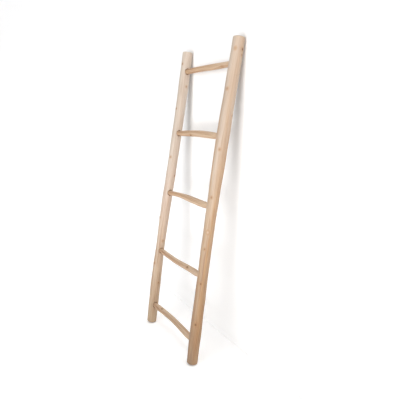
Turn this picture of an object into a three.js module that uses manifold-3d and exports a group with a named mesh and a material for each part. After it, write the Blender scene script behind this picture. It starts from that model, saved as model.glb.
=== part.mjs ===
// A leaning ladder of natural round wood, made to hang quilts, blankets or towels on.
// Two debarked poles stand on the floor and lean on a wall. Five branch rungs are whittled to a tenon at each end,
// sit in blind sockets in the poles, and are locked by a wooden peg driven in from the wall side.
//
// Units are millimetres. +X runs along the rungs to the right, as seen from the room, +Y points to the wall and
// +Z is up. The floor is z = 0. A height "along the pole" is measured on the pole from its foot.
// side is -1 for the left pole and 1 for the right pole.
import * as THREE from "three";
import { mergeVertices } from "three/addons/utils/BufferGeometryUtils.js";
import Module from "manifold-3d";

// Overall layout
const FOOT_SPACING = 500; // between the pole centres at the floor
const TOP_SPACING = 490; // between the pole centres at the top: the ladder narrows a little
const LEAN = THREE.MathUtils.degToRad(9.4);
const RIM_EASING = 4; // the sawn ends are rounded off by this much

// Poles: the radius at equal steps from the foot to the top, as the log grew, and how far it bends towards the
// wall, as the heights of one wave and of two waves along the pole
const LEFT_POLE = {
  length: 1600,
  radii: [27.5, 29, 28.5, 25, 27, 28, 27.5, 28, 27.5, 28.5, 28],
  bends: [-6, -5],
};
const RIGHT_POLE = {
  length: 1606,
  radii: [27.5, 29, 28, 26.5, 26.5, 27.5, 30.5, 31.5, 30, 30, 28.5],
  bends: [-14, 0],
};

// Rungs, from the lowest to the highest: the heights along the pole of its two holes, then its radius, how far it
// rises along the ladder and how far it sways to the wall, each at equal steps from left to right
const RUNGS = [
  { holes: [112, 112], radii: [16.5, 15.6, 15.2, 15.8, 16.4], rise: [0, 5, 8, 5, 0], sway: [0, 1, 2, 1, 0] },
  { holes: [451, 452], radii: [14.6, 14.4, 14.6, 15.2, 15.8], rise: [0, -4, -5, -2, 0], sway: [0, -2, -1, 2, 0] },
  { holes: [800, 802], radii: [12.8, 13.4, 16, 17, 16.6], rise: [0, 5, 5, 2, 0], sway: [0, 2, 0, -2, 0] },
  { holes: [1147, 1145], radii: [15.2, 16.4, 17, 17.5, 16.6], rise: [0, 3, 5, 3, 0], sway: [0, -1, -3, -1, 0] },
  { holes: [1493, 1488], radii: [14.5, 14.6, 15, 15, 14], rise: [0, 1, 1, 1, 0], sway: [0, 0, 1, 2, 0] },
];

// Joints
const TENON_RADIUS = 13;
const TENON_PAST_CENTRE = 7; // how far the tenon reaches beyond the pole's centre line
const TENON_SHOWING = 4; // how far the full tenon comes out of the pole before the taper starts
const WHITTLED = 42; // how far from the pole the branch has its full girth
const MOUTH_RADIUS = 19.5; // the socket is reamed out at its mouth
const MOUTH_DEPTH = 11;
const PEG_RADIUS = 4;
const PEG_FROM_CENTRE = 6; // from the pole's centre line to the peg, towards the rung
const PEG_REACH = 17; // how far the peg runs past the pole's centre line
const GAP = 0.3; // clearance between pieces that touch

const POLE_WOOD = new THREE.Color("#d6bfab");
const RUNG_WOOD = new THREE.Color("#c8a88a");
const PEG_WOOD = new THREE.Color("#b98f68");

const wasm = await Module();
wasm.setup();

// A smooth curve through values at equal steps, read at t from 0 to 1.
function through(values, t) {
  const points = values.map((value, i) => new THREE.Vector2(i, value));
  return new THREE.SplineCurve(points).getPoint(t).y;
}

function poleOn(side) {
  return side < 0 ? LEFT_POLE : RIGHT_POLE;
}

function poleRadius(side, height) {
  const { radii, length } = poleOn(side);
  return through(radii, height / length);
}

// The pole's centre line at a height along the pole, before the ladder is leaned.
function poleCentre(side, height) {
  const { bends, length } = poleOn(side);
  const t = height / length;
  const x = (side * THREE.MathUtils.lerp(FOOT_SPACING, TOP_SPACING, t)) / 2;
  const y = bends[0] * Math.sin(Math.PI * t) + bends[1] * Math.sin(2 * Math.PI * t);
  return new THREE.Vector3(x, y, height);
}

function holeHeight(side, index) {
  return RUNGS[index].holes[side < 0 ? 0 : 1];
}

function solidOf(geometry) {
  const plain = geometry.clone();
  plain.deleteAttribute("normal");
  plain.deleteAttribute("uv");
  const merged = mergeVertices(plain, 1e-3);
  return new wasm.Manifold(
    new wasm.Mesh({
      numProp: 3,
      vertProperties: merged.attributes.position.array,
      triVerts: new Uint32Array(merged.index.array),
    }),
  );
}

function geometryOf(solid) {
  const made = solid.getMesh();
  const positions = new Float32Array(made.numVert * 3);
  for (let i = 0; i < made.numVert; i++) {
    const start = i * made.numProp;
    positions.set(made.vertProperties.subarray(start, start + 3), i * 3);
  }
  const geometry = new THREE.BufferGeometry();
  geometry.setAttribute("position", new THREE.BufferAttribute(positions, 3));
  geometry.setIndex(new THREE.BufferAttribute(new Uint32Array(made.triVerts), 1));
  geometry.computeVertexNormals();
  return geometry;
}

// Moves every vertex by the vector that shift returns for its place.
function displace(geometry, shift) {
  const places = geometry.attributes.position;
  const vertex = new THREE.Vector3();
  for (let i = 0; i < places.count; i++) {
    vertex.fromBufferAttribute(places, i);
    vertex.add(shift(vertex));
    places.setXYZ(i, vertex.x, vertex.y, vertex.z);
  }
  return geometry;
}

function mesh(name, geometry, colour, roughness) {
  const material = new THREE.MeshStandardMaterial({ color: colour, roughness, metalness: 0 });
  const made = new THREE.Mesh(geometry, material);
  made.name = name;
  return made;
}

// A round rod along Y from y = near to y = far, with both ends chamfered.
function rod(radius, near, far, chamfer) {
  const profile = [
    new THREE.Vector2(0, near),
    new THREE.Vector2(radius - chamfer, near),
    new THREE.Vector2(radius, near + chamfer),
    new THREE.Vector2(radius, far - chamfer),
    new THREE.Vector2(radius - chamfer, far),
    new THREE.Vector2(0, far),
  ];
  return new THREE.LatheGeometry(profile, 16);
}

// The cutter for one socket: a bore that ends past the pole's centre line and opens into a reamed mouth.
// It lies along X, with x = 0 on the pole's centre line.
function socketCutter(side, height) {
  const bore = TENON_RADIUS + GAP;
  const floor = -(TENON_PAST_CENTRE + GAP);
  const surface = poleRadius(side, height);
  const profile = [
    new THREE.Vector2(0, floor),
    new THREE.Vector2(bore, floor),
    new THREE.Vector2(bore, surface - MOUTH_DEPTH),
    new THREE.Vector2(MOUTH_RADIUS, surface),
    new THREE.Vector2(MOUTH_RADIUS, surface + 10),
    new THREE.Vector2(0, surface + 10),
  ];
  const centre = poleCentre(side, height);
  const cutter = new THREE.LatheGeometry(profile, 24).rotateZ((side * Math.PI) / 2);
  return solidOf(cutter.translate(centre.x, centre.y, centre.z));
}

// Where a peg's axis crosses the plane of the pole's centre line, on the rung's side of it.
function pegPlace(side, height) {
  return poleCentre(side, height).add(new THREE.Vector3(-side * PEG_FROM_CENTRE, 0, 0));
}

// The hole for a peg, open on the wall side and blind towards the room.
function pegHole(side, height) {
  const place = pegPlace(side, height);
  const hole = rod(PEG_RADIUS + GAP, -(PEG_REACH + GAP), 60, 0.2);
  return solidOf(hole.translate(place.x, place.y, place.z));
}

// A pole: a log of changing radius with eased rims, bent as it grew, then drilled for the rungs and the pegs.
function pole(side) {
  const { length } = poleOn(side);
  const foot = poleRadius(side, 0);
  const top = poleRadius(side, length);
  const eased = RIM_EASING * (1 - Math.SQRT1_2);
  const profile = [
    new THREE.Vector2(0, 0),
    new THREE.Vector2(foot - RIM_EASING, 0),
    new THREE.Vector2(foot - eased, eased),
  ];
  const steps = 24;
  for (let i = 0; i <= steps; i++) {
    const height = THREE.MathUtils.lerp(RIM_EASING, length - RIM_EASING, i / steps);
    profile.push(new THREE.Vector2(poleRadius(side, height), height));
  }
  profile.push(new THREE.Vector2(top - eased, length - eased));
  profile.push(new THREE.Vector2(top - RIM_EASING, length));
  profile.push(new THREE.Vector2(0, length));

  const log = new THREE.LatheGeometry(profile, 28).rotateX(Math.PI / 2);
  displace(log, (vertex) => poleCentre(side, vertex.z).setZ(0));
  let solid = solidOf(log);
  for (let i = 0; i < RUNGS.length; i++) {
    const height = holeHeight(side, i);
    solid = solid.subtract(socketCutter(side, height)).subtract(pegHole(side, height));
  }
  return geometryOf(solid);
}

// A rung: a branch of changing radius along X, whittled to a tenon at each end and bent as it grew.
function rung(index) {
  const { radii, rise, sway } = RUNGS[index];
  const left = poleCentre(-1, holeHeight(-1, index));
  const right = poleCentre(1, holeHeight(1, index));
  const reach = right.x + TENON_PAST_CENTRE;
  const surface = right.x - Math.max(poleRadius(-1, left.z), poleRadius(1, right.z));
  const full = surface - WHITTLED;

  const profile = [
    new THREE.Vector2(0, -reach),
    new THREE.Vector2(TENON_RADIUS - 1.5, -reach),
    new THREE.Vector2(TENON_RADIUS, -reach + 1.5),
    new THREE.Vector2(TENON_RADIUS, -surface - TENON_SHOWING),
  ];
  const steps = 12;
  for (let i = 0; i <= steps; i++) {
    const t = i / steps;
    profile.push(new THREE.Vector2(through(radii, t), THREE.MathUtils.lerp(-full, full, t)));
  }
  profile.push(new THREE.Vector2(TENON_RADIUS, surface + TENON_SHOWING));
  profile.push(new THREE.Vector2(TENON_RADIUS, reach - 1.5));
  profile.push(new THREE.Vector2(TENON_RADIUS - 1.5, reach));
  profile.push(new THREE.Vector2(0, reach));

  // The tenons stay straight in their sockets. Between the poles the branch follows its own bends, and drifts
  // from the left hole to the right one, which are not quite level with each other.
  const branch = new THREE.LatheGeometry(profile, 20).rotateZ(-Math.PI / 2);
  displace(branch, (vertex) => {
    const along = THREE.MathUtils.clamp((vertex.x + surface) / (2 * surface), 0, 1);
    const drift = THREE.MathUtils.smoothstep(vertex.x, -surface, surface);
    const y = THREE.MathUtils.lerp(left.y, right.y, drift) + through(sway, along);
    const z = THREE.MathUtils.lerp(left.z, right.z, drift) + through(rise, along);
    return new THREE.Vector3(0, y, z);
  });
  return geometryOf(solidOf(branch).subtract(pegHole(-1, left.z)).subtract(pegHole(1, right.z)));
}

// A peg, driven in from the wall side and cut flush with the pole.
function peg(side, index) {
  const height = holeHeight(side, index);
  const place = pegPlace(side, height);
  const flush = Math.sqrt(poleRadius(side, height) ** 2 - (PEG_FROM_CENTRE + PEG_RADIUS) ** 2);
  return rod(PEG_RADIUS, -PEG_REACH, flush, 0.8).translate(place.x, place.y, place.z);
}

const ladder = new THREE.Group();
ladder.add(mesh("pole_left", pole(-1), POLE_WOOD, 0.75));
ladder.add(mesh("pole_right", pole(1), POLE_WOOD, 0.75));
for (let i = 0; i < RUNGS.length; i++) {
  const name = `rung_${i + 1}`;
  ladder.add(mesh(name, rung(i), RUNG_WOOD, 0.7));
  ladder.add(mesh(`${name}_peg_left`, peg(-1, i), PEG_WOOD, 0.65));
  ladder.add(mesh(`${name}_peg_right`, peg(1, i), PEG_WOOD, 0.65));
}

// Leaned to the wall and set down on the floor, with the origin under the middle of its bounding box.
ladder.rotation.x = -LEAN;
const group = new THREE.Group();
group.add(ladder);
group.updateMatrixWorld(true);
const bounds = new THREE.Box3().setFromObject(group, true);
const middle = bounds.getCenter(new THREE.Vector3());
ladder.position.set(-middle.x, -middle.y, -bounds.min.z);

export default group;
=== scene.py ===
"""A leaning ladder of natural round wood, for hanging quilts, blankets or towels on.

Metres, with the floor at z = 0, +X along the rungs to the right as seen from the room, +Y to the wall and +Z up.
Sizes are written in millimetres and carried over by MM.
"""

import math

import bpy
import numpy as np
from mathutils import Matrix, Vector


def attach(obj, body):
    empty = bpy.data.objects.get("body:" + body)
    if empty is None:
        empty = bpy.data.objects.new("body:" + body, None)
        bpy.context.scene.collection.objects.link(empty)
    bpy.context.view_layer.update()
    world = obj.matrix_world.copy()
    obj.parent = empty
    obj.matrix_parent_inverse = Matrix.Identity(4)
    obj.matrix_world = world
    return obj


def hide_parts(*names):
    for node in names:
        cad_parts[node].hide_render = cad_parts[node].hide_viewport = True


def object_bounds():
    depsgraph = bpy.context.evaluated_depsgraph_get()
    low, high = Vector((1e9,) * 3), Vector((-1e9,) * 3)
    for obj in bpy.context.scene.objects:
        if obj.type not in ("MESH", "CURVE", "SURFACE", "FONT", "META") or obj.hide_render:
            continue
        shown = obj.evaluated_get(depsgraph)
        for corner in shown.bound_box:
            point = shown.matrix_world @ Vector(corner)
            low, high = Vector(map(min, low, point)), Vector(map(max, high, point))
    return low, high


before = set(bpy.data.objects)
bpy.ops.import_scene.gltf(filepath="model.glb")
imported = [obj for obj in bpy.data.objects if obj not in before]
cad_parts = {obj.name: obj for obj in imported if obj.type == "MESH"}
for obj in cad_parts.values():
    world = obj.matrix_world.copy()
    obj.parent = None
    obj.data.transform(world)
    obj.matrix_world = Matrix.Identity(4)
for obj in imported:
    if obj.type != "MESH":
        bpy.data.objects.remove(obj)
cad_low, cad_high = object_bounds()


# ------------------------------------------------------------------------------------------------ the two poles
# Each pole is the stem of a young eucalyptus, debarked, dried and sanded, and sawn square with its rims eased.
# It is drilled with five blind sockets for the rungs, each reamed out at its mouth, and five peg holes behind them.

MM = 0.001
LEAN = math.radians(9.4)
SET_DOWN = np.array([-0.010, -131.528, 3.838]) * MM  # where the middle between the two foot centres comes to lie
FOOT_SPACING, TOP_SPACING = 500, 490  # between the pole centres
RIM_EASING = 4  # the radius of the sanded rims
POLE_UNEVENNESS = 0.45  # for uneven, further down
# Each pole by its side, -1 for left and 1 for right: its bends towards the wall, as one wave and as two waves along it,
# and its radii at equal steps from the foot to the top
POLES = {
    -1: dict(name="Pole_left", node="pole_left", length=1600, bends=(-6, -5), seed=11,
             radii=(27.5, 29, 28.5, 25, 27, 28, 27.5, 28, 27.5, 28.5, 28)),
    1: dict(name="Pole_right", node="pole_right", length=1606, bends=(-14, 0), seed=23,
            radii=(27.5, 29, 28, 26.5, 26.5, 27.5, 30.5, 31.5, 30, 30, 28.5)),
}
# Knots, where twigs were trimmed off: height on the pole, angle from +X towards the wall in degrees, radius of the
# core, how dark the core is from 0 to 1, or how pale below 0, and how far the knot swells out of the log. The last
# ones of each pole face the wall.
POLE_KNOTS = {
    -1: ((1532, -76, 3.6, 0.6, 0.4), (1411, 8, 3.8, 0.4, 0.4), (1283, -85, 3.2, 0.9, 0.3), (1006, -63, 4.0, 0.4, 0.5),
         (899, 26, 3.2, 0.8, 0.3), (646, -102, 5.5, 0.7, 1.3), (510, 0, 4.5, 0.3, 0.8), (369, -77, 3.8, 0.8, 0.5),
         (253, 6, 4.2, 0.7, 0.6), (1460, 150, 4.0, 0.6, 0.6), (1120, 118, 4.5, 0.7, 0.8), (760, 165, 5.0, 0.8, 0.9),
         (560, 96, 4.0, 0.6, 0.6), (300, 140, 5.5, 0.8, 1.0), (1215, -150, 4.0, 0.5, 0.5), (420, -140, 3.5, 0.7, 0.5)),
    1: ((1548, -54, 4.2, 0.1, 0.3), (1549, 22, 5.2, 1.0, 0.3), (1524, 26, 3.8, 0.75, 0.1), (1364, -66, 4.0, 0.3, 0.4),
        (1082, -45, 3.8, 0.35, 0.5), (852, -54, 3.8, 0.4, 0.4), (682, -42, 5.0, -0.35, 0.5), (598, -51, 3.8, 0.5, 0.4),
        (424, -42, 4.4, 0.6, 0.6), (214, -42, 6.0, 0.65, 0.8), (1245, 30, 3.5, 0.6, 0.3), (1440, 128, 4.5, 0.6, 0.8),
        (1010, 160, 4.0, 0.7, 0.6), (740, 108, 5.0, 0.7, 0.9), (505, 150, 4.0, 0.6, 0.6), (330, 60, 5.5, 0.5, 0.8),
        (160, 125, 5.0, 0.8, 0.9), (1300, -160, 4.0, 0.5, 0.5), (610, 178, 3.5, 0.6, 0.4)),
}


def through(values, t):
    """A smooth curve through values at equal steps, at t from 0 to 1: on each step the cubic that meets both of its
    values with the slope of the chord between the values on either side (Catmull-Rom)."""
    values = np.asarray(values, float)
    last = len(values) - 1
    place = np.clip(t, 0, 1) * last
    step = np.minimum(np.floor(place).astype(int), last - 1)
    w = place - step
    before, start = values[np.maximum(step - 1, 0)], values[step]
    end, after = values[step + 1], values[np.minimum(step + 2, last)]
    leave, arrive = (end - before) / 2, (after - start) / 2
    cubed, squared = 2 * start - 2 * end + leave + arrive, 3 * end - 3 * start - 2 * leave - arrive
    return ((cubed * w + squared) * w + leave) * w + start


def pole_girth(side, height):
    """The pole's radius at a height along it."""
    return through(POLES[side]["radii"], height / POLES[side]["length"])


def pole_line(side, height):
    """The pole's centre line: half the spacing out from the middle, and towards the wall by one wave and two waves."""
    t = height / POLES[side]["length"]
    one, two = POLES[side]["bends"]
    x = side * (FOOT_SPACING + (TOP_SPACING - FOOT_SPACING) * t) / 2
    y = one * np.sin(np.pi * t) + two * np.sin(2 * np.pi * t)
    return x, y


def stood_up(places):
    """From the ladder lying flat, in millimetres, to where it stands, in metres: turned back by LEAN about X, so that
    y' = y cos + z sin and z' = z cos - y sin, and set down on the floor."""
    x, y, z = np.moveaxis(places * MM, -1, 0)
    turned = np.stack([x, y * math.cos(LEAN) + z * math.sin(LEAN), z * math.cos(LEAN) - y * math.sin(LEAN)], -1)
    return turned + SET_DOWN


def laid_flat(places):
    """The way back: from where the ladder stands, in metres, to the ladder lying flat, in millimetres."""
    x, y, z = np.moveaxis(places - SET_DOWN, -1, 0)
    turned = np.stack([x, y * math.cos(LEAN) - z * math.sin(LEAN), z * math.cos(LEAN) + y * math.sin(LEAN)], -1)
    return turned / MM


def closed_rings(name, rings):
    """A closed skin over rings of points (rows, around, 3), listed from one end to the other and turning so that the
    faces look outwards: quads between neighbouring rings, and a fan from each end ring to its own middle."""
    rows, around = rings.shape[:2]
    first, last = rings[0].mean(0), rings[-1].mean(0)
    points = np.concatenate([rings.reshape(-1, 3), first[None], last[None]])
    here = np.arange(rows - 1)[:, None] * around + np.arange(around)
    beside = np.arange(rows - 1)[:, None] * around + np.roll(np.arange(around), -1)
    quads = np.stack([here, beside, beside + around, here + around], -1).reshape(-1, 4)
    turn, turned = np.arange(around), np.roll(np.arange(around), -1)
    top = (rows - 1) * around
    fans = np.concatenate([
        np.stack([turned, turn, np.full(around, rows * around)], -1),
        np.stack([top + turn, top + turned, np.full(around, rows * around + 1)], -1),
    ])
    mesh = bpy.data.meshes.new(name)
    mesh.from_pydata(points.tolist(), [], quads.tolist() + fans.tolist())
    mesh.update()
    piece = bpy.data.objects.new(name, mesh)
    bpy.context.scene.collection.objects.link(piece)
    return piece


def uneven(angle, along, seed, size):
    """How far a log's skin stands off its girth: a sum of six slow waves, each of 1 to 5 lobes around and a wavelength
    of 90 to 700 mm along, with seeded phases. Each is size / (1 + lobes / 2) high, so the finer ones are lower."""
    pick = np.random.default_rng(seed)
    total = 0
    for lobes in (2, 1, 3, 2, 4, 5):
        wave = pick.uniform(90, 700)
        phase = pick.uniform(0, 6.28)
        total = total + size / (1 + 0.5 * lobes) * np.sin(lobes * angle + 2 * np.pi * along / wave + phase)
    return total


def knot_field(knots, angle, along, girth):
    """For each point of a log's skin, its distances across and along to every knot, over that knot's radius. A knot is
    a little longer than wide, because the twig leaned up the stem."""
    knots = np.asarray(knots)
    turn = (angle[..., None] - np.radians(knots[:, 1]) + np.pi) % (2 * np.pi) - np.pi
    across = turn * np.asarray(girth)[..., None] / knots[:, 2]
    length = (along[..., None] - knots[:, 0]) / (1.25 * knots[:, 2])
    return across, length


def swelling(knots, angle, along, girth):
    """How far the knots lift a log's skin: at a distance of so many knot radii, a mound that falls off as e to the
    power -distance squared / 5, less a dip of 0.55 that falls off as e to the power -distance squared / 0.7, where the
    twig was cut."""
    across, length = knot_field(knots, angle, along, girth)
    far = across**2 + length**2
    return (np.asarray(knots)[:, 4] * (np.exp(-far / 5) - 0.55 * np.exp(-far / 0.7))).sum(-1)


def pole_log(side):
    """The pole before it is drilled. The profile runs from the middle of the foot out to the rim, over a quarter circle
    of the eased rim, up the log and back in over the top; each ring is the girth plus the log's unevenness and its
    knots, bent along the centre line."""
    pole, around = POLES[side], 128
    length = pole["length"]
    angle = np.linspace(0, 2 * np.pi, around, endpoint=False)
    ease = np.radians(np.arange(0, 90, 15))
    face = np.linspace(0.06, 0.96, 9)
    up = np.linspace(RIM_EASING, length - RIM_EASING, 560)
    end_height = np.concatenate([0 * face, RIM_EASING * (1 - np.cos(ease))])
    end_inset = np.concatenate([RIM_EASING + 0 * face, RIM_EASING * (1 - np.sin(ease))])
    end_share = np.concatenate([face, 1 + 0 * ease])
    height = np.concatenate([end_height, up, length - end_height[::-1]])
    inset = np.concatenate([end_inset, 0 * up, end_inset[::-1]])
    share = np.concatenate([end_share, 1 + 0 * up, end_share[::-1]])
    angle, height = np.meshgrid(angle, height)
    girth = pole_girth(side, height)
    skin = girth + uneven(angle, height, pole["seed"], POLE_UNEVENNESS)
    skin = skin + swelling(POLE_KNOTS[side], angle, height, girth)
    skin = (skin - inset[:, None]) * share[:, None]
    x, y = pole_line(side, height)
    rings = np.stack([x + skin * np.cos(angle), y + skin * np.sin(angle), height], -1)
    return closed_rings(pole["name"], stood_up(rings))


# Rungs and pegs: the heights of the rungs on the left and right poles, how far past a pole's centre a tenon ends, and
# how far from that centre a peg stands to the inside and reaches to the room. GAP is left around both in their holes.
RUNG_HOLES = ((112, 112), (451, 452), (800, 802), (1147, 1145), (1493, 1488))
TENON_RADIUS, TENON_PAST_CENTRE = 13, 7
MOUTH_RADIUS, MOUTH_DEPTH = 19, 9
PEG_RADIUS, PEG_FROM_CENTRE, PEG_REACH = 4, 6, 17
GAP = 0.3


def hole_height(side, index):
    """How far up a pole a rung goes in."""
    left, right = RUNG_HOLES[index]
    return left if side < 0 else right


def socket(side, index):
    """The shape a socket takes out of a pole: a bore that ends past the centre line and opens into the mouth that the
    reamer left, a hollow curve whose radius wanders by up to 0.6 mm, as a hand-held tool does."""
    height = hole_height(side, index)
    girth, (x, y) = float(pole_girth(side, height)), pole_line(side, height)
    bore, end = TENON_RADIUS + GAP, -(TENON_PAST_CENTRE + GAP)
    deep = np.array([end, end, girth - MOUTH_DEPTH, girth - 5.5, girth - 2.5, girth, girth + 10])
    wide = np.array([bore * 0.5, bore, bore, 14.6, 16.8, MOUTH_RADIUS, MOUTH_RADIUS + 1])
    angle = np.linspace(0, 2 * np.pi, 64, endpoint=False)
    wander = 1 + 0.02 * np.sin(3 * angle + index + side) + 0.012 * np.sin(7 * angle + 2 * index)
    wide = wide[:, None] * np.where(wide[:, None] > 14, wander, 1)
    inward = -side * deep[:, None] + 0 * angle
    rings = np.stack([x + inward, y + side * wide * np.cos(angle), height - wide * np.sin(angle)], -1)
    return closed_rings("socket", stood_up(rings))


def peg_hole(side, index):
    """The shape a peg hole takes out of a pole and the tenon in it: a round bore from the wall side that stops before
    the room side."""
    height = hole_height(side, index)
    x, y = pole_line(side, height)
    angle = np.linspace(0, 2 * np.pi, 40, endpoint=False)
    deep = np.array([-PEG_REACH - GAP, -PEG_REACH - GAP, 60, 60])[:, None] + 0 * angle
    wide = (PEG_RADIUS + GAP) * np.array([0.5, 1, 1, 0.5])[:, None]
    rings = np.stack([x - side * PEG_FROM_CENTRE + wide * np.sin(angle), y + deep, height + wide * np.cos(angle)], -1)
    return closed_rings("peg_hole", stood_up(rings))


def cut(piece, tools):
    """Takes the tools' shapes out of the piece one after the other and throws the tools away."""
    for tool in tools:
        bite = piece.modifiers.new("cut", "BOOLEAN")
        bite.operation, bite.solver, bite.object = "DIFFERENCE", "MANIFOLD", tool
        done = bpy.data.meshes.new_from_object(piece.evaluated_get(bpy.context.evaluated_depsgraph_get()))
        piece.modifiers.clear()
        old, piece.data = piece.data, done
        piece.data.materials.clear()
        bpy.data.meshes.remove(old)
        bpy.data.objects.remove(tool)
    return piece


def points_of(piece):
    """A piece's own points, as one array."""
    points = np.zeros(len(piece.data.vertices) * 3)
    piece.data.vertices.foreach_get("co", points)
    return points.reshape(-1, 3)


def grown(piece, across, along, girth, knots, reamed=False):
    """Gives a piece its place in the log it was made from, for the grain to follow. in_log is that place in metres:
    two distances across from the pith and one along it, with the angle squeezed towards each knot so that the grain
    flows round it. knot holds the distance to the nearest knot over its radius and that knot's darkness. cut holds how
    deep under the skin of the log the point lies, in millimetres, and 1 where that is the wall of a hole, which is
    painted a burnished brown that is partly painted shade in the hole."""
    out = np.hypot(across[:, 0], across[:, 1])
    angle = np.arctan2(across[:, 1], across[:, 0])
    aside, length = knot_field(knots, angle, along, girth)
    far = np.hypot(aside, length)
    nearest = far.argmin(1)
    # Each knot presses the grain aside, fading over a few knot radii across the log and more along it
    pull = (aside * np.asarray(knots)[:, 2] * np.exp(-(aside**2) / 7 - length**2 / 22)).sum(1)
    flow = angle - 0.72 * pull / girth
    deep = np.maximum(girth - out, 0)
    in_log = np.stack([out * np.cos(flow), out * np.sin(flow), along], -1) * MM
    knot = np.stack([far.min(1), np.asarray(knots)[nearest, 3], 0 * out], -1)
    inside = np.stack([deep, (deep > 1.5) & reamed, 0 * out], -1)
    for name, values in (("in_log", in_log), ("knot", knot), ("cut", inside)):
        made = piece.data.attributes.new(name, "FLOAT_VECTOR", "POINT")
        made.data.foreach_set("vector", values.astype(np.float32).ravel())
    piece.data.shade_smooth()
    piece.data.set_sharp_from_angle(angle=math.radians(34))


def linear(colour):
    """An sRGB hex colour as linear red, green, blue and 1: each channel is c / 12.92 up to 0.04045, and above it
    ((c + 0.055) / 1.055) to the power 2.4."""
    parts = [int(colour[i:i + 2], 16) / 255 for i in (1, 3, 5)]
    return (*[c / 12.92 if c <= 0.04045 else ((c + 0.055) / 1.055) ** 2.4 for c in parts], 1.0)


def add(tree, kind, inputs=(), **settings):
    """Adds one node to a tree: settings are its own, and inputs are pairs of a socket and a value or another node's
    output to link there."""
    made = tree.nodes.new("ShaderNode" + kind)
    for key, value in settings.items():
        setattr(made, key, value)
    for socket_at, value in inputs:
        if isinstance(value, bpy.types.NodeSocket):
            tree.links.new(value, made.inputs[socket_at])
        else:
            made.inputs[socket_at].default_value = value
    return made


def span(tree, value, start, end, low=0.0, high=1.0, steps="SMOOTHSTEP"):
    """Carries a value from the span start to end over to the span low to high, as a smooth step unless steps says
    otherwise, and holds it at both ends."""
    ends = [(0, value), (1, start), (2, end), (3, low), (4, high)]
    return add(tree, "MapRange", ends, interpolation_type=steps).outputs[0]


def maths(tree, operation, *values, clamp=False):
    """One calculation on one or two values, held between 0 and 1 if clamp is set."""
    return add(tree, "Math", enumerate(values), operation=operation, use_clamp=clamp).outputs[0]


def parts_of(tree, attribute):
    """The three values that an attribute of grown holds."""
    both = add(tree, "Attribute", attribute_name=attribute).outputs["Vector"]
    return add(tree, "SeparateXYZ", [(0, both)]).outputs


def mixed(tree, amount, colour, other, way="MIX"):
    """A colour with an amount of another one mixed in, or multiplied over it."""
    return add(tree, "Mix", [(0, amount), (6, colour), (7, other)], data_type="RGBA", blend_type=way).outputs[2]


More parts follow.
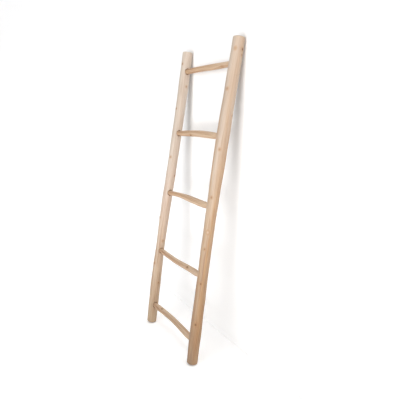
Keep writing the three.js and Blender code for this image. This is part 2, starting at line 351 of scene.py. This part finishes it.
def round_wood(name, foot, middle, top, warm, length, painted_shade_side, warmth, roughness, cut_face):
    """Debarked and sanded round wood. Its colour goes from foot over middle to top along the log, and turns to warm in
    streaks and, as painted shade, on one side, given in degrees; cut faces show growth rings, the walls of holes are
    painted brown, partly as painted shade, and knots are brown with a warm halo."""
    material = bpy.data.materials.new(name)
    material.use_nodes = True
    tree = material.node_tree
    tree.nodes.clear()
    place = add(tree, "Attribute", attribute_name="in_log").outputs["Vector"]
    height = parts_of(tree, "in_log")[2]
    near, dark, _ = parts_of(tree, "knot")
    deep, burnish_and_painted_shade, _ = parts_of(tree, "cut")

    # The patterns, by how often per metre they change across and along the log: streaks of warmer wood, brown bands,
    # lines of grain, and fine grain, which is under 1 mm wide on the real wood and is drawn wider so that it shows
    patterns = []
    for across, along, detail, rough, bend in (
            (38, 1.7, 2, 0.5, 0.3), (85, 3.1, 2, 0.5, 0.5), (165, 5.0, 3, 0.55, 0.3), (430, 9.0, 3, 0.6, 0.1)):
        drawn = add(tree, "VectorMath", [(0, place), (1, (across, across, along))], operation="MULTIPLY").outputs[0]
        patterns.append(add(tree, "TexNoise", [("Vector", drawn), ("Scale", 1.0), ("Detail", detail),
                                               ("Roughness", rough), ("Distortion", bend)]).outputs[0])
    streak, band, line, fine = patterns
    lower = span(tree, height, 0.0, length * 0.55, steps="LINEAR")
    upper = span(tree, height, length * 0.4, length * 0.7)
    colour = mixed(tree, lower, linear(foot), linear(middle))
    colour = mixed(tree, upper, colour, linear(top))

    # Painted shade in warm tan on one side: how far the point faces that side, plus the wood's own streaks, less
    # towards the top
    turn = (math.cos(math.radians(painted_shade_side)), math.sin(math.radians(painted_shade_side)), 0)
    painted_shade_facing = add(tree, "VectorMath", [(0, place), (1, turn)], operation="DOT_PRODUCT").outputs["Value"]
    painted_shade_facing = span(tree, painted_shade_facing, -6 * MM, 27 * MM, 0.0, 0.85)
    streaks = span(tree, streak, 0.45, 0.64, 0.0, 0.7)
    fade = span(tree, height, length * 0.62, length * 0.8, warmth, warmth * 0.35, "LINEAR")
    streaks_and_painted_shade = maths(tree, "MULTIPLY", maths(tree, "ADD", painted_shade_facing, streaks), fade, clamp=True)
    colour = mixed(tree, streaks_and_painted_shade, colour, linear(warm))

    # The grain: brown bands that are strongest in the lower third, lines, and fine grain between them
    strong = span(tree, height, length * 0.15, length * 0.6, 1.0, 0.5, "LINEAR")
    for pattern, pale, full, share, brown in (
            (band, 0.50, 0.68, 0.50, "#d7bfae"),
            (line, 0.46, 0.70, 0.55, "#d4c0b0"),
            (fine, 0.45, 0.72, 0.45, "#d0bfb2")):
        amount = maths(tree, "MULTIPLY", span(tree, pattern, pale, full, 0.0, share), strong)
        colour = mixed(tree, amount, colour, linear(brown), "MULTIPLY")

    # Growth rings, 3 mm apart and a little wavy, which show fully where the wood is cut 2 mm or more under its skin,
    # and the walls of the holes painted a burnished brown, which is partly painted shade in the holes
    out = add(tree, "VectorMath", [(0, place), (1, (1, 1, 0))], operation="MULTIPLY").outputs[0]
    out = add(tree, "VectorMath", [(0, out)], operation="LENGTH").outputs["Value"]
    out = maths(tree, "ADD", out, span(tree, streak, 0.0, 1.0, 0.0, 6 * MM, "LINEAR"))
    ring = maths(tree, "SINE", maths(tree, "MULTIPLY", out, 2 * math.pi / (3 * MM)))
    ring = span(tree, ring, -1.0, 1.0, 0.15, 0.5, "LINEAR")
    ring = maths(tree, "MULTIPLY", ring, span(tree, deep, 0.4, 2.0))
    colour = mixed(tree, ring, colour, linear(cut_face))
    # Hole walls: burnished brown, partly painted shade
    colour = mixed(tree, maths(tree, "MULTIPLY", burnish_and_painted_shade, 0.75), colour, linear("#805637"))

    # Knots: a warm halo that fades out at three knot radii, and a core with a ragged edge, dark or pale
    near = maths(tree, "ADD", near, span(tree, line, 0.3, 0.7, -0.35, 0.35, "LINEAR"))
    colour = mixed(tree, span(tree, near, 3.2, 0.8, 0.0, 0.5), colour, linear("#b28558"))
    core = span(tree, near, 1.35, 0.45, 0.0, 0.9)
    for shade, hue in ((dark, "#5a3a26"), (maths(tree, "MULTIPLY", dark, -1.0, clamp=True), "#dccfc2")):
        colour = mixed(tree, maths(tree, "MULTIPLY", core, shade, clamp=True), colour, linear(hue))

    rough = span(tree, fine, 0.3, 0.7, roughness - 0.06, roughness + 0.06, "LINEAR")
    relief = maths(tree, "ADD", maths(tree, "MULTIPLY", line, 1.4), fine)
    bump = add(tree, "Bump", [("Strength", 0.35), ("Distance", 0.9 * MM), ("Height", relief)])
    skin = add(tree, "BsdfPrincipled", [("Base Color", colour), ("Roughness", rough), ("IOR", 1.5),
                                        ("Normal", bump.outputs[0])])
    add(tree, "OutputMaterial", [(0, skin.outputs[0])])
    return material


# Eucalyptus, debarked and sanded, bare: matt, paler and pinker to the top and browner to the foot, with long soft
# streaks, low grain and small brown knots. Each log has painted shade in a warm tan on the side facing right and
# towards the wall; the right log has more of it, and more warm streaks.
pole_woods = {
    -1: round_wood("eucalyptus_debarked_pale", foot="#ccb598", middle="#d0beb0", top="#c8baac", warm="#c3a180",
                   length=1.6, painted_shade_side=40, warmth=0.3, roughness=0.66, cut_face="#b08a63"),
    1: round_wood("eucalyptus_debarked_warm", foot="#a98f77", middle="#c9b39b", top="#c5b3a2", warm="#bc966f",
                  length=1.6, painted_shade_side=35, warmth=0.75, roughness=0.66, cut_face="#b08a63"),
}

for side, pole in POLES.items():
    log = cut(pole_log(side), [socket(side, i) for i in range(5)] + [peg_hole(side, i) for i in range(5)])
    flat = laid_flat(points_of(log))
    x, y = pole_line(side, flat[:, 2])
    # Away from the sawn ends, the only wood that lies deep is the wall of a hole
    off_ends = (flat[:, 2] > 30) & (flat[:, 2] < pole["length"] - 30)
    grown(log, np.stack([flat[:, 0] - x, flat[:, 1] - y], -1), flat[:, 2], pole_girth(side, flat[:, 2]),
          POLE_KNOTS[side], off_ends)
    log.data.materials.append(pole_woods[side])
    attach(log, "root")
    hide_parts(pole["node"])


# ---------------------------------------------------------------------------------------------- the five rungs
# Each rung is a branch of the same wood, debarked and left as crooked as it grew. Its ends are whittled down with a
# knife to a round tenon, which is pushed into the socket of each pole: over 42 mm in front of the pole and 4 mm in it.

WHITTLED, WHITTLED_INSIDE = 42, 4
RUNG_UNEVENNESS = 0.14
# Each rung at equal steps from left to right: its radii, and how far it rises up the ladder and sways to the wall. Its
# knots are given as the poles' are, but from the ladder's middle and at angles from the wall side upwards.
RUNGS = (
    dict(radii=(16.5, 15.6, 15.2, 15.8, 16.4), rise=(0, 5, 8, 5, 0), sway=(0, 1, 2, 1, 0),
         knots=((60, -40, 4.0, 0.5, 0.5), (-120, 120, 4.5, 0.7, 0.6))),
    dict(radii=(14.6, 14.4, 14.6, 15.2, 15.8), rise=(0, -4, -5, -2, 0), sway=(0, -2, -1, 2, 0),
         knots=((-90, 20, 4.0, 0.4, 0.4), (110, 150, 4.5, 0.7, 0.6))),
    dict(radii=(12.8, 13.4, 16, 17, 16.6), rise=(0, 5, 5, 2, 0), sway=(0, 2, 0, -2, 0),
         knots=((10, 100, 4.5, 0.4, 0.5), (130, -100, 4.5, 0.6, 0.6))),
    dict(radii=(15.2, 16.4, 17, 17.5, 16.6), rise=(0, 3, 5, 3, 0), sway=(0, -1, -3, -1, 0),
         knots=((-52, -128, 4.5, 0.95, 0.5), (60, 80, 4.5, 0.4, 0.5))),
    dict(radii=(14.5, 14.6, 15, 15, 14), rise=(0, 1, 1, 1, 0), sway=(0, 0, 1, 2, 0),
         knots=((150, -120, 5.0, 0.25, 0.4), (-70, 60, 4.0, 0.6, 0.5))),
)


def rung_reach(index):
    """How far from the ladder's middle a rung's tips, the faces of the poles and the branch's full girth lie."""
    left, right = RUNG_HOLES[index]
    out = pole_line(1, right)[0]
    face = out - max(pole_girth(-1, left), pole_girth(1, right))
    return out + TENON_PAST_CENTRE, face, face - WHITTLED


def rung_line(index, along):
    """The branch's centre line: from the left hole to the right one along a smooth step, with its own rise up the
    ladder and sway to the wall between the poles."""
    left, right = RUNG_HOLES[index]
    _, face, _ = rung_reach(index)
    t = np.clip((along + face) / (2 * face), 0, 1)
    drift = t * t * (3 - 2 * t)
    from_y, to_y = pole_line(-1, left)[1], pole_line(1, right)[1]
    y = from_y + (to_y - from_y) * drift + through(RUNGS[index]["sway"], t)
    z = left + (right - left) * drift + through(RUNGS[index]["rise"], t)
    return y, z


def branch_girth(index, along):
    """The branch's radius as it grew, between its two whittled ends and straight on past them."""
    _, _, full = rung_reach(index)
    return through(RUNGS[index]["radii"], (along + full) / (2 * full))


def knife_cuts(angle, along, from_end, seed):
    """The share of its round girth that whittling leaves: flats in two rows of strokes, which start and end so far out
    from the pole. A flat at distance a from the axis leaves a / cos of the angle from its middle, and the least
    counts."""
    pick = np.random.default_rng(seed)
    left = np.ones_like(angle)
    # Each stroke turns a little along its length, 0.004 radians per mm, and runs in over 6 mm and out over 9
    for start, end, flats in ((-8, 30, 9), (16, 50, 8)):
        turn = (np.arange(flats) + pick.uniform(-0.28, 0.28, flats)) * 2 * np.pi / flats
        depth = pick.uniform(0.945, 0.985, flats)
        lean = np.cos(angle[..., None] - turn - 0.004 * from_end[..., None])
        flat = (depth / np.maximum(lean, 0.3)).min(-1)
        fade = np.clip((from_end - start) / 6, 0, 1) * np.clip((end - from_end) / 9, 0, 1)
        left = np.minimum(left, 1 + (flat - 1) * fade)
    return left


def rung_branch(index):
    """The rung before the peg holes: a profile of tenon, taper and branch turned about its centre line, with the
    unevenness and knots of the branch and the flats of the knife on its tapers."""
    tip, face, full = (float(v) for v in rung_reach(index))
    angle = np.linspace(0, 2 * np.pi, 96, endpoint=False)
    half = np.concatenate([np.full(4, tip), [tip - 0.7, tip - 1.5], np.linspace(tip - 4, face + 6, 12)])
    along = np.concatenate([-half, np.linspace(-face - WHITTLED_INSIDE, face + WHITTLED_INSIDE, 330), half[::-1]])
    inner = np.concatenate([[0.05, 0.35, 0.65, 0.88], [0.95, 1.0], np.ones(12)])
    share = np.concatenate([inner, np.ones(330), inner[::-1]])
    angle, along = np.meshgrid(angle, along)
    branch = branch_girth(index, along)
    to_tenon = np.clip((np.abs(along) - full) / (face + WHITTLED_INSIDE - full), 0, 1)
    round_part = branch + (TENON_RADIUS - branch) * to_tenon
    # The branch's own skin is gone after a sixth of the taper
    bark = np.clip(1 - to_tenon * 6, 0, 1)
    grown_part = uneven(angle, along, 40 + index, RUNG_UNEVENNESS)
    grown_part = grown_part + swelling(RUNGS[index]["knots"], angle, along, branch)
    skin = (round_part + bark * grown_part) * knife_cuts(angle, along, face - np.abs(along), 60 + 2 * index)
    y, z = rung_line(index, along)
    skin = skin * share[:, None]
    rings = np.stack([along, y + skin * np.cos(angle), z + skin * np.sin(angle)], -1)
    return closed_rings(f"Rung_{index + 1}", stood_up(rings))


# The same eucalyptus from younger branches: more golden than the poles, with the grain closer together, and painted
# shade in a warm tan on the underside.
rung_wood = round_wood("eucalyptus_branch", foot="#d1b89d", middle="#d1b89d", top="#d1b89d", warm="#bd9876",
                       length=1.0, painted_shade_side=-85, warmth=0.85, roughness=0.62, cut_face="#c3a283")

for index, rung in enumerate(RUNGS):
    branch = cut(rung_branch(index), [peg_hole(-1, index), peg_hole(1, index)])
    flat = laid_flat(points_of(branch))
    y, z = rung_line(index, flat[:, 0])
    across = np.stack([flat[:, 1] - y, flat[:, 2] - z], -1)
    grown(branch, across, flat[:, 0], branch_girth(index, flat[:, 0]), rung["knots"])
    branch.data.materials.append(rung_wood)
    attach(branch, "root")
    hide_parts(f"rung_{index + 1}")


# ------------------------------------------------------------------------------------------------ the ten pegs
# A peg is split and shaved from a darker, harder offcut, driven through each tenon from the wall side and sanded
# flush with the pole, so only its end grain shows at the back.

NO_KNOTS = ((-900, 0, 4.0, 0.0, 0.0),)  # one knot, far below the peg
peg_wood = round_wood("hardwood_peg", foot="#b08a64", middle="#b08a64", top="#b08a64", warm="#8f6640",
                      length=1.0, painted_shade_side=0, warmth=0.5, roughness=0.6, cut_face="#7c5836")


def peg_rod(side, index):
    """A rod along the depth of the ladder, chamfered where it goes in. Its head is carried out to the skin of the pole,
    with the rim a quarter of a millimetre under it and the rest as much over it: at a distance x from the pole's
    middle the skin lies at the root of girth squared less x squared."""
    height = hole_height(side, index)
    x, y = pole_line(side, height)
    girth = float(pole_girth(side, height))
    angle = np.linspace(0, 2 * np.pi, 40, endpoint=False)
    head = np.array([1, 0.97, 0.86, 0.6, 0.3, 0.08])
    share = np.concatenate([[0.1, 0.5, 0.8, 1], np.ones(10), head])
    depth = np.concatenate([np.full(3, -PEG_REACH), [-PEG_REACH + 0.8], np.linspace(-14, 16, 10), 0 * head])
    wide = PEG_RADIUS * share[:, None] * (1 + 0.02 * np.sin(4 * angle + index + side))
    px, pz = -side * PEG_FROM_CENTRE + wide * np.sin(angle), wide * np.cos(angle)
    at_skin = np.sqrt(girth**2 - px**2) + 0.25 - 0.5 * (share[:, None] == 1)
    in_head = np.arange(len(share)) >= len(share) - len(head)
    depth = np.where(in_head[:, None], at_skin, depth[:, None])
    rings = np.stack([x + px, y + depth, height + pz], -1)
    return closed_rings(f"Peg_{index + 1}_{'right' if side > 0 else 'left'}", stood_up(rings))


for index in range(5):
    for side in (-1, 1):
        peg = peg_rod(side, index)
        height = hole_height(side, index)
        flat = laid_flat(points_of(peg))
        x, y = pole_line(side, height)
        # The offcut's pith lay 11 mm to the side, so its rings cross the peg as arcs
        across = np.stack([flat[:, 0] - x + side * PEG_FROM_CENTRE + 11, flat[:, 2] - height + 3], -1)
        grown(peg, across, flat[:, 1] - y, np.full(len(flat), 20.0), NO_KNOTS)
        peg.data.materials.append(peg_wood)
        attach(peg, "root")
        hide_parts(f"rung_{index + 1}_peg_{'right' if side > 0 else 'left'}")


# ------------------------------------------------------------------------------- the room, the light and the camera
# A pale floor and the white wall that the ladder leans on, and a studio round them: a wide soft light from the right
# of the room, a smaller one below it that shines up past the front edge of the floor, a weak one overhead, and a white
# sky. The wall and floor can only be seen from the room; from behind they are clear.

def white_paint(name, lightness, glow, away, shown_corner, shown_far):
    """Matt white paint that shows from its front only. It glows a little, which stands for a studio lit from all
    around. glow is what it gives the room. How bright the glow looks goes from shown_corner, in the corner of floor
    and wall, to shown_far, 1.2 m away in the direction of away, and less where something stands close."""
    made = bpy.data.materials.new(name)
    made.use_nodes = True
    tree = made.node_tree
    tree.nodes.clear()
    coat = add(tree, "BsdfDiffuse", [("Color", (lightness, lightness, lightness, 1))])
    place = add(tree, "TexCoord").outputs["Object"]
    far = add(tree, "VectorMath", [(0, place), (1, away)], operation="DOT_PRODUCT").outputs["Value"]
    shown = span(tree, far, 0.0, 1.2, shown_corner, shown_far, "LINEAR")
    openness = add(tree, "AmbientOcclusion", [("Distance", 60 * MM)]).outputs["AO"]
    shown = maths(tree, "MULTIPLY", shown, span(tree, openness, 0.05, 0.5, steps="LINEAR"))
    seen = add(tree, "LightPath").outputs["Is Camera Ray"]
    light = add(tree, "Emission", [("Strength", span(tree, seen, 0.0, 1.0, glow, shown, "LINEAR"))])
    front = add(tree, "AddShader", [(0, coat.outputs[0]), (1, light.outputs[0])])
    clear = add(tree, "BsdfTransparent")
    behind = add(tree, "NewGeometry").outputs["Backfacing"]
    sided = add(tree, "MixShader", [(0, behind), (1, front.outputs[0]), (2, clear.outputs[0])])
    add(tree, "OutputMaterial", [(0, sided.outputs[0])])
    return made


def sheet(name, corners, paint):
    """A flat four-cornered sheet, its corners counter-clockwise as seen from its painted side."""
    mesh = bpy.data.meshes.new(name)
    mesh.from_pydata(corners, [], [(0, 1, 2, 3)])
    made = bpy.data.objects.new(name, mesh)
    made.data.materials.append(paint)
    bpy.context.scene.collection.objects.link(made)


# The room is so wide and high that its ends never show. Its floor stops 1.3 m out, and lets the lower light in there.
ASIDE, FLOOR_FRONT, WALL_TOP = 60, -1.3, 40
wall_at = cad_high[1] + 0.5 * MM
sheet("Floor", [(-ASIDE, FLOOR_FRONT, 0), (ASIDE, FLOOR_FRONT, 0), (ASIDE, wall_at, 0), (-ASIDE, wall_at, 0)],
      white_paint("floor_paint", 0.85, 0.06, (0, -1, 0), 0.34, 0.6))
sheet("Wall", [(-ASIDE, wall_at, 0), (ASIDE, wall_at, 0), (ASIDE, wall_at, WALL_TOP), (-ASIDE, wall_at, WALL_TOP)],
      white_paint("wall_paint", 0.88, 0.14, (0, 0, 1), 0.32, 0.02))

# The sky is plain white where it is seen, and lights the ladder faintly, less from low down than from above
sky = bpy.data.worlds.new("studio")
bpy.context.scene.world = sky
sky.use_nodes = True
sky.node_tree.nodes.clear()
seen = add(sky.node_tree, "LightPath").outputs["Is Camera Ray"]
upward = add(sky.node_tree, "SeparateXYZ", [(0, add(sky.node_tree, "TexCoord").outputs["Generated"])]).outputs[2]
ceiling = span(sky.node_tree, upward, -0.05, 0.25, 0.05, 0.32, "LINEAR")
strength = span(sky.node_tree, seen, 0.0, 1.0, ceiling, 1.0, "LINEAR")
glow = add(sky.node_tree, "Background", [("Color", (1, 1, 1, 1)), ("Strength", strength)])
add(sky.node_tree, "OutputWorld", [(0, glow.outputs[0])])

# Each light with its strength, how wide it looks and where it stands, in degrees: 0 is overhead and 90 level with
# the ladder, and then how far round to the right
for name, energy, spread, tilt, turn in (
        ("front_softbox", 1.95, 60, 94, 30), ("low_softbox", 1.2, 34, 103, 26), ("ceiling_softbox", 0.65, 22, 12, 20)):
    lamp = bpy.data.lights.new(name, "SUN")
    lamp.energy, lamp.angle = energy, math.radians(spread)
    softbox = bpy.data.objects.new(name, lamp)
    softbox.rotation_euler = (math.radians(tilt), 0, math.radians(turn))
    bpy.context.scene.collection.objects.link(softbox)

# The camera stands 1.22 m above the floor, to the right of the ladder and 1 m in front, and looks down a little
eye = bpy.data.objects.new("camera", bpy.data.cameras.new("camera"))
eye.data.sensor_width, eye.data.lens = 36, 36
eye.location = (1.8407, -1.0298, 1.2221)
LOOK_DOWN, LOOK_LEFT = 11.609, 59.265  # degrees
eye.rotation_euler = (math.radians(90 - LOOK_DOWN), 0, math.radians(LOOK_LEFT))
eye.data.dof.use_dof = False
bpy.context.scene.collection.objects.link(eye)
bpy.context.scene.camera = eye
bpy.context.scene.view_settings.view_transform = "Standard"
